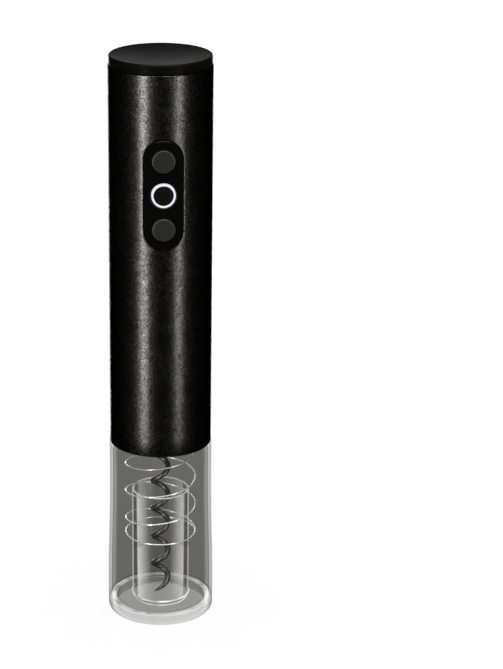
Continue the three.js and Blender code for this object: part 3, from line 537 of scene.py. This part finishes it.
def sweep(points, radii, sides):
    """A round wire through points with a radius at each, closed at both ends."""
    mesh = bmesh.new()
    rings = []
    up = Vector((0, 0, 1))
    for i, point in enumerate(points):
        ahead = points[min(i + 1, len(points) - 1)]
        behind = points[max(i - 1, 0)]
        along = (ahead - behind).normalized()
        side = along.cross(up).normalized() if abs(along.dot(up)) < 0.999 else Vector((1, 0, 0))
        top = side.cross(along)
        ring = []
        for k in range(sides):
            a = 2 * math.pi * k / sides
            ring.append(mesh.verts.new(point + radii[i] * (side * math.cos(a) + top * math.sin(a))))
        rings.append(ring)
    for a, b in zip(rings, rings[1:]):
        for k in range(sides):
            mesh.faces.new([a[k], a[(k + 1) % sides], b[(k + 1) % sides], b[k]])
    mesh.faces.new(rings[0])
    mesh.faces.new(rings[-1])
    return mesh


# ---------------------------------------------------------------- control panel helpers
def stadium_point(angle, width, height):
    """The point on a stadium's outline that a ray from its centre meets, at an angle from +X."""
    radius = width / 2
    straight = height / 2 - radius
    dx, dz = math.cos(angle), math.sin(angle)
    if abs(dx) > 1e-9 and abs(dz / dx) * radius <= straight:
        t = radius / abs(dx)
        return Vector((dx * t, dz * t))
    centre_z = math.copysign(straight, dz)
    b = dz * centre_z
    t = b + math.sqrt(max(0, b * b - centre_z * centre_z + radius * radius))
    return Vector((dx * t, dz * t))


def stadium_normal(point, width, height):
    """The outward direction at a point on a stadium's outline."""
    straight = height / 2 - width / 2
    if abs(point.y) <= straight:
        return Vector((math.copysign(1, point.x), 0))
    return (point - Vector((0, math.copysign(straight, point.y)))).normalized()


def front(x, z, radius):
    """The point at x and z on the front of an upright cylinder."""
    return Vector((x, -math.sqrt(radius * radius - x * x), z))


def bridge(mesh, loops, closed=True):
    """Quads between neighbouring loops of vertices."""
    for a, b in zip(loops, loops[1:]):
        for k in range(len(a) if closed else len(a) - 1):
            n = (k + 1) % len(a)
            mesh.faces.new([a[k], a[n], b[n], b[k]])


# ---------------------------------------------------------------- the pieces
def body_tube():
    """The painted tube, with a rounded edge at each end and round the control window."""
    foot, top = low("body_tube"), high("body_tube")
    bore = TUBE_R - TUBE_WALL
    edge = 0.28 * MM
    half = 16  # columns on each side of the window's middle
    rows = 40
    step = 2 * math.pi / SIDES
    hole_w, hole_h = PANEL_WIDTH + 0.3 * MM, PANEL_HEIGHT + 0.3 * MM
    margin = 6 * MM  # above and below the window, up to where the plain skin starts
    z0, z1 = PANEL_Z - hole_h / 2 - margin, PANEL_Z + hole_h / 2 + margin
    quarter = [math.radians(30 * i) for i in range(1, 4)]
    mesh = bmesh.new()

    def skin(radius, z_low, z_high, steps, from_column, to_column):
        """A part of the tube's inside or outside, as an even grid."""
        rings = []
        for i in range(steps + 1):
            z = z_low + (z_high - z_low) * i / steps
            angles = [c * step for c in range(from_column, to_column + 1)]
            rings.append([mesh.verts.new((radius * math.sin(a), -radius * math.cos(a), z)) for a in angles])
        bridge(mesh, rings, closed=False)

    def round_window(radius, inner):
        """Loops from a rectangle of the skin's own grid in to a stadium outline."""
        edge_x = radius * math.sin(half * step)
        rim = [(radius * math.sin(c * step), z0) for c in range(-half, half)]
        rim += [(edge_x, z0 + (z1 - z0) * r / rows) for r in range(rows)]
        rim += [(radius * math.sin(c * step), z1) for c in range(half, -half, -1)]
        rim += [(-edge_x, z0 + (z1 - z0) * r / rows) for r in range(rows, 0, -1)]
        points = [stadium_point(math.atan2(z - PANEL_Z, x), *inner) for x, z in rim]
        loops = []
        for share in (0.0, 0.3, 0.55, 0.75, 0.9, 1.0):
            loops.append([
                mesh.verts.new(front(x + (p.x - x) * share, z + (PANEL_Z + p.y - z) * share, radius))
                for (x, z), p in zip(rim, points)
            ])
        bridge(mesh, loops)
        return points, loops[-1]

    mouth = (hole_w + 2 * edge, hole_h + 2 * edge)
    points, outer = round_window(TUBE_R, mouth)
    normals = [stadium_normal(p, *mouth) for p in points]
    steps_in = [(edge * math.sin(a), TUBE_R - edge * (1 - math.cos(a))) for a in quarter]
    loops = [outer]
    for inward, radius in steps_in + [(edge, bore)]:
        loops.append([
            mesh.verts.new(front(p.x - n.x * inward, PANEL_Z + p.y - n.y * inward, radius))
            for p, n in zip(points, normals)
        ])
    bridge(mesh, loops)
    round_window(bore, (hole_w, hole_h))

    for radius, end_low, end_high in ((TUBE_R, foot + edge, top - edge), (bore, foot, top)):
        skin(radius, end_low, z0, 12, 0, SIDES)
        skin(radius, z1, end_high, 6, 0, SIDES)
        skin(radius, z0, z1, rows, half, SIDES - half)
    for z, inward in ((foot, 1), (top, -1)):
        ends = [(TUBE_R, z + inward * edge)]
        ends += [(TUBE_R - edge * (1 - math.cos(a)), z + inward * edge * (1 - math.sin(a))) for a in quarter]
        ends.append((bore, z))
        bridge(mesh, [
            [mesh.verts.new((r * math.sin(c * step), -r * math.cos(c * step), at)) for c in range(SIDES)]
            for r, at in ends
        ])
    finish_mesh("painted_tube", mesh, [PAINT], "housing", ["body_tube"], 50)


def control_panel():
    """A plate that follows the tube, a little proud of it, with a round well for each button and the ring."""
    face_r, back_r = high_r("control_panel"), 21.2 * MM
    edge = 0.35 * MM
    lip = 0.15 * MM
    well_r = 5.7 * MM
    wells = [middle("button_down"), middle("light_ring"), middle("button_up")]
    split = (wells[1] - wells[0]) / 2
    width, height = PANEL_WIDTH - 2 * edge, PANEL_HEIGHT - 2 * edge
    # The rays that leave each well's centre: one of them meets each corner of the middle third.
    corner = math.atan2(split, width / 2)
    quarter = [corner * i / 8 for i in range(8)] + [corner + (math.pi / 2 - corner) * i / 8 for i in range(8)]
    turns = quarter + [math.pi - a for a in reversed(quarter[1:])]
    turns.insert(len(quarter), math.pi / 2)
    turns += [a + math.pi for a in turns]
    mesh = bmesh.new()

    def cell_edge(well, angle, inner):
        """Where a ray from a well's centre leaves its third of the plate."""
        dx, dz = math.cos(angle), math.sin(angle)
        at_z = wells[well] - PANEL_Z
        reach = (split / abs(dz)) if abs(dz) > 1e-9 else 1.0
        outwards = (well == 0 and dz < 0) or (well == 2 and dz > 0)
        centre_z = math.copysign(inner[1] / 2 - inner[0] / 2, at_z) if well != 1 else 0
        side = (inner[0] / 2 / abs(dx)) if abs(dx) > 1e-9 else 1.0
        if outwards:
            off = at_z - centre_z
            b = dz * off
            round_end = -b + math.sqrt(max(0, b * b - off * off + (inner[0] / 2) ** 2))
            beyond = abs(at_z + dz * side) > abs(centre_z)
            return round_end if beyond else side
        return min(reach, side)

    def plate(radius, inner, hole):
        """The plate's face or back: a ring of quads round each well, out to the edge of its third."""
        for well, z in enumerate(wells):
            loops = []
            reaches = [cell_edge(well, a, inner) for a in turns]
            for share in (0.0, 0.25, 0.5, 0.75, 1.0):
                loops.append([
                    mesh.verts.new(front(
                        math.cos(a) * (reach + (hole - reach) * share),
                        z + math.sin(a) * (reach + (hole - reach) * share),
                        radius,
                    )) for a, reach in zip(turns, reaches)
                ])
            bridge(mesh, loops)

    inner = (width, height)
    plate(face_r, inner, well_r + lip)
    plate(back_r, (PANEL_WIDTH, PANEL_HEIGHT), well_r)
    well_wall = ((well_r + lip, face_r), (well_r + lip * 0.3, face_r - lip * 0.3), (well_r, face_r - lip),
                 (well_r, back_r))
    for z in wells:
        bridge(mesh, [
            [mesh.verts.new(front(r * math.cos(a), z + r * math.sin(a), at)) for a in turns]
            for r, at in well_wall
        ])
    rim = []
    for well, z in enumerate(wells):
        for a in turns:
            reach = cell_edge(well, a, inner)
            point = Vector((reach * math.cos(a), z - PANEL_Z + reach * math.sin(a)))
            if abs(stadium_point(math.atan2(point.y, point.x), *inner).length - point.length) < 1e-7:
                rim.append(point)
    rim.sort(key=lambda p: math.atan2(p.y, p.x))
    kept = [p for i, p in enumerate(rim) if (p - rim[i - 1]).length > 1e-7]
    normals = [stadium_normal(p, *inner) for p in kept]
    bend = [math.radians(degrees) for degrees in (0, 22, 45, 67, 90)]
    steps_out = [(edge * math.sin(a), face_r - edge * (1 - math.cos(a))) for a in bend]
    loops = []
    for out, radius in steps_out + [(edge, back_r)]:
        loops.append([
            mesh.verts.new(front(p.x + n.x * out, PANEL_Z + p.y + n.y * out, radius))
            for p, n in zip(kept, normals)
        ])
    bridge(mesh, loops)
    finish_mesh("panel_plate", mesh, [PANEL_BLACK], "housing", ["control_panel"], 40)


def facing_front(mesh, z):
    """Turns a piece made along +Z so that its +Z looks along -Y, at height z."""
    place = Matrix.Translation((0, 0, z)) @ Matrix.Rotation(math.pi / 2, 4, "X")
    bmesh.ops.transform(mesh, matrix=place, verts=mesh.verts)
    return mesh


def button(which):
    """A round key with a soft rim, a slightly hollow face and the flange that keeps it in."""
    name = f"button_{which}"
    face, back = -low(name, 1), -high(name, 1)
    key_r, flange_r = 5.15 * MM, 6.3 * MM
    rim = 0.7 * MM
    hollow = 0.12 * MM
    hollow_share = 0.8  # how far out the hollow reaches
    shoulder = back + 0.6 * MM
    profile = [(0, back), (flange_r, back), (flange_r, shoulder), (key_r, shoulder)]
    profile += arc(key_r - rim, face - rim, rim, 0, 90, 8)
    for share in (hollow_share, 0.65, 0.5, 0.3, 0.15):
        profile.append((key_r * share, face - hollow * (1 - (share / hollow_share) ** 2)))
    profile.append((0, face - hollow))
    finish_mesh(f"key_{which}", facing_front(turn(profile, 64), middle(name)), [BUTTON_BLACK], name,
                [name])


def light_ring():
    """The frosted ring that lights up, flush with the plate, and the dark disc inside it."""
    z = middle("light_ring")
    skin = high_r("control_panel") - 0.03 * MM
    foot = 21.3 * MM
    outer, bore = 5.25 * MM, 4.45 * MM
    soft = 0.12 * MM
    angles = [2 * math.pi * i / 96 for i in range(96)]

    def loop(mesh, r, radius):
        """A circle of radius r about the ring's middle, laid on an upright cylinder of the other radius."""
        return [mesh.verts.new(front(r * math.cos(a), z + r * math.sin(a), radius)) for a in angles]

    mesh = bmesh.new()
    section = [(outer, foot), (outer, skin - soft), (outer - soft, skin), (bore + soft, skin),
               (bore, skin - soft), (bore, foot), (outer, foot)]
    bridge(mesh, [loop(mesh, r, radius) for r, radius in section])
    finish_mesh("lit_ring", mesh, [LIT_RING], "housing", ["light_ring"])
    mesh = bmesh.new()
    disc_r = bore - 0.1 * MM
    section = [(disc_r, foot), (disc_r, skin - soft), (disc_r - soft, skin), (disc_r * 0.75, skin),
               (disc_r * 0.5, skin), (disc_r * 0.25, skin), (1e-6, skin)]
    loops = [loop(mesh, r, radius) for r, radius in section]
    bridge(mesh, loops)
    mesh.faces.new(loops[0])
    finish_mesh("ring_disc", mesh, [PANEL_BLACK], "housing", ["ring_cap"])


def battery_cap():
    """Shallow dished cap with a soft rim and a plug that fits down the tube."""
    top, foot = high("battery_cap"), low("battery_cap")
    seat = high("body_tube") + FIT
    ceiling = top - 2.6 * MM
    rim_r = 22.6 * MM
    bore = PLUG_R - 1.5 * MM
    cut_in, cut_out, cut_seat = 0.3 * MM, 0.4 * MM, 0.2 * MM  # small bevels
    rim = 0.75 * MM
    dish = 1.1 * MM
    profile = [(0, ceiling), (bore, ceiling), (bore, foot + cut_in), (bore + cut_in, foot),
               (PLUG_R - cut_out, foot), (PLUG_R, foot + cut_out), (PLUG_R, seat),
               (rim_r - cut_seat, seat), (rim_r, seat + cut_seat)]
    profile += arc(rim_r - rim, top - rim, rim, 0, 118, 8)
    steps = 14
    start_r, start_z = profile[-1]
    fall = (top - dish) - start_z
    for i in range(1, steps + 1):
        share = i / steps
        profile.append((start_r * (1 - share), start_z + fall * math.sin(share * math.pi / 2) ** 0.9))
    finish_mesh("dished_cap", turn(profile), [CAP_BLACK], "battery_cap",
                ["battery_cap"])


def pass_light(*pieces):
    """Clear pieces cast no shadow and take no light from what they hold."""
    for piece in pieces:
        piece.visible_shadow = False
        piece.visible_diffuse = False
        piece.visible_glossy = False


def skirt_radius(z):
    """The skirt's outside: straight at the top, with a gentle flare to the foot."""
    flare_foot, flare_length = 12 * MM, 52 * MM
    top_r = TUBE_R + 0.2 * MM
    share = max(0.0, min(1.0, (z - flare_foot) / flare_length))
    share = share * share * (3 - 2 * share)
    return FOOT_R + (top_r - FOOT_R) * share


def bottle_skirt():
    """The clear guide: a tube with a smoked inside, on a thick clear foot ring."""
    shoulder = low("body_tube") - FIT
    top = high("bottle_skirt")
    spigot_bore = 20.5 * MM
    ring_z = 5.0 * MM
    ring_bore = 20.35 * MM
    cut_foot, cut_top = 0.5 * MM, 0.4 * MM  # bevels on the ring's bore
    corner = 1.9 * MM
    outside, smoke, foot, ring_bore_wall, ring_top = 0, 1, 2, 3, 4
    profile, zones = [], []

    def add(points, zone):
        """Adds points to the profile. The edge that starts at each of them gets the zone's plastic."""
        for point in points:
            profile.append(point)
            zones.append(zone)

    add([(ring_bore, cut_foot), (ring_bore + cut_foot, 0)], foot)
    add(arc(FOOT_R - corner, corner, corner, -90, 0, 8), foot)
    heights = [ring_z + (shoulder - ring_z) * i / 16 for i in range(17)]
    add([(skirt_radius(z), z) for z in heights], outside)
    add([(PLUG_R, shoulder), (PLUG_R, top)], outside)
    add([(spigot_bore, top), (spigot_bore, shoulder + 1 * MM)], smoke)
    add([(skirt_radius(z) - SKIRT_WALL, z) for z in reversed(heights[1:-1])], smoke)
    add([(FOOT_R - SKIRT_WALL, ring_z), (ring_bore + cut_top, ring_z)], ring_top)
    add([(ring_bore, ring_z - cut_top)], ring_bore_wall)
    plastics = [CLEAR_OUTSIDE, SMOKED_INSIDE, FOOT_CLEAR, FOOT_BORE, FOOT_TOP]
    skirt = finish_mesh("clear_skirt", turn(profile, SIDES, zones), plastics, "housing",
                        ["bottle_skirt"])
    pass_light(skirt)


def cork_sleeve():
    """The clear inner tube, on a disc with a step under it for the bottle's lip, and four lugs."""
    foot, top = low("cork_sleeve"), high("cork_sleeve")
    outer, bore = 13.0 * MM, 12.05 * MM
    seat_r = 19.6 * MM
    disc_r = high("cork_sleeve", 0)
    disc_foot, disc_top = foot + 0.7 * MM, foot + 2.2 * MM
    edge = 0.35 * MM
    cut, fillet = 0.2 * MM, 0.5 * MM  # the seat's bevel, and the slant where the tube meets the disc
    tube, disc, inside, rim = 0, 1, 2, 3
    profile = arc(bore + edge, foot + edge, edge, 180, 270, 4)
    profile += [(seat_r - cut, foot), (seat_r, foot + cut), (seat_r, disc_foot), (disc_r - edge, disc_foot)]
    profile += arc(disc_r - edge, disc_foot + edge, edge, -90, 0, 4)[1:]
    profile += arc(disc_r - edge, disc_top - edge, edge, 0, 90, 4)
    profile += [(outer + fillet, disc_top)]
    zones = [rim] * 4 + [disc] * (len(profile) - 5) + [rim]
    profile += [(outer, disc_top + fillet)]
    zones += [tube]
    profile += arc(outer - edge, top - edge, edge, 0, 90, 4)
    profile += arc(bore + edge, top - edge, edge, 90, 180, 4)
    zones += [rim] * 9 + [inside]
    plastics = [SLEEVE_CLEAR, DISC_CLEAR, BORE_CLEAR, RIM_CLEAR]
    sleeve = finish_mesh("clear_sleeve", turn(profile, 128, zones), plastics, "cork_sleeve",
                         ["cork_sleeve"])
    lug_size = (3.96 * MM, 3.0 * MM, 1.4 * MM)
    lug_r = 15.02 * MM
    lug_z = low("return_spring") - 0.3 * MM - 0.7 * MM
    mesh = bmesh.new()
    for i in range(4):
        cube = bmesh.ops.create_cube(mesh, size=1.0)["verts"]
        place = Matrix.Rotation(math.radians(45 + 90 * i), 4, "Z")
        place @= Matrix.Translation((lug_r, 0, lug_z))
        place @= Matrix.Diagonal((*lug_size, 1))
        bmesh.ops.transform(mesh, matrix=place, verts=cube)
    bmesh.ops.bevel(mesh, geom=mesh.edges[:], offset=0.25 * MM, segments=3, affect="EDGES")
    lugs = finish_mesh("sleeve_lugs", mesh, [LUG_CLEAR], "cork_sleeve", ["cork_sleeve"])
    pass_light(sleeve, lugs)


def return_spring():
    """Bright round wire with closed end turns."""
    coil_r, wire_r = 16.0 * MM, 0.35 * MM
    lower_end, upper_end = 37 * MM, 115 * MM
    pitch = 13.6 * MM
    active = (upper_end - lower_end - 4 * wire_r) / pitch
    turns = active + 2  # one closed turn at each end
    points = []
    steps = int(turns * 72)
    for i in range(steps + 1):
        turn_number = turns * i / steps
        climb = min(max(turn_number - 1, 0), active) * pitch
        stacked = min(turn_number, 1) + max(0, turn_number - 1 - active)
        z = lower_end - wire_r + stacked * 2.2 * wire_r + climb
        a = 2 * math.pi * turn_number
        points.append(Vector((coil_r * math.cos(a), coil_r * math.sin(a), z)))
    spring = finish_mesh("wire_spring", sweep(points, [wire_r] * len(points), 14), [SPRING_STEEL], "housing",
                         ["return_spring"], 60)
    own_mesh(spring)


def worm():
    """Right-handed worm, ground to a point and closing on its shank in the hub."""
    tip, top = 7.0 * MM, 109.0 * MM
    coil_r, wire_r = 3.4 * MM, 1.25 * MM
    pitch = 13.9 * MM
    right_z = 13.9 * MM
    neck, shank = 90 * MM, 97 * MM  # where the coil starts and stops closing on the axis
    grind = 6 * MM  # the length of the ground point
    points, radii = [], []
    steps = 420
    for i in range(steps + 1):
        z = tip + (top - tip) * i / steps
        a = 2 * math.pi * (z - right_z) / pitch
        if z < right_z:
            a = -math.radians(150) * (right_z - z) / (right_z - tip)
        share = max(0.0, min(1.0, (z - neck) / (shank - neck)))
        r = coil_r * (1 - share * share * (3 - 2 * share))
        points.append(Vector((r * math.cos(a), r * math.sin(a), z)))
        sharpen = min(1.0, (z - tip) / grind)
        radii.append(wire_r * (0.08 + 0.92 * math.sin(sharpen * math.pi / 2)))
    finish_mesh("steel_worm", sweep(points, radii, 20), [WORM_STEEL], "worm_drive", ["worm"],
                60)


make_camera()
dress_cad_nodes()
body_tube()
control_panel()
button("up")
button("down")
light_ring()
battery_cap()
bottle_skirt()
cork_sleeve()
return_spring()
worm()
make_studio()
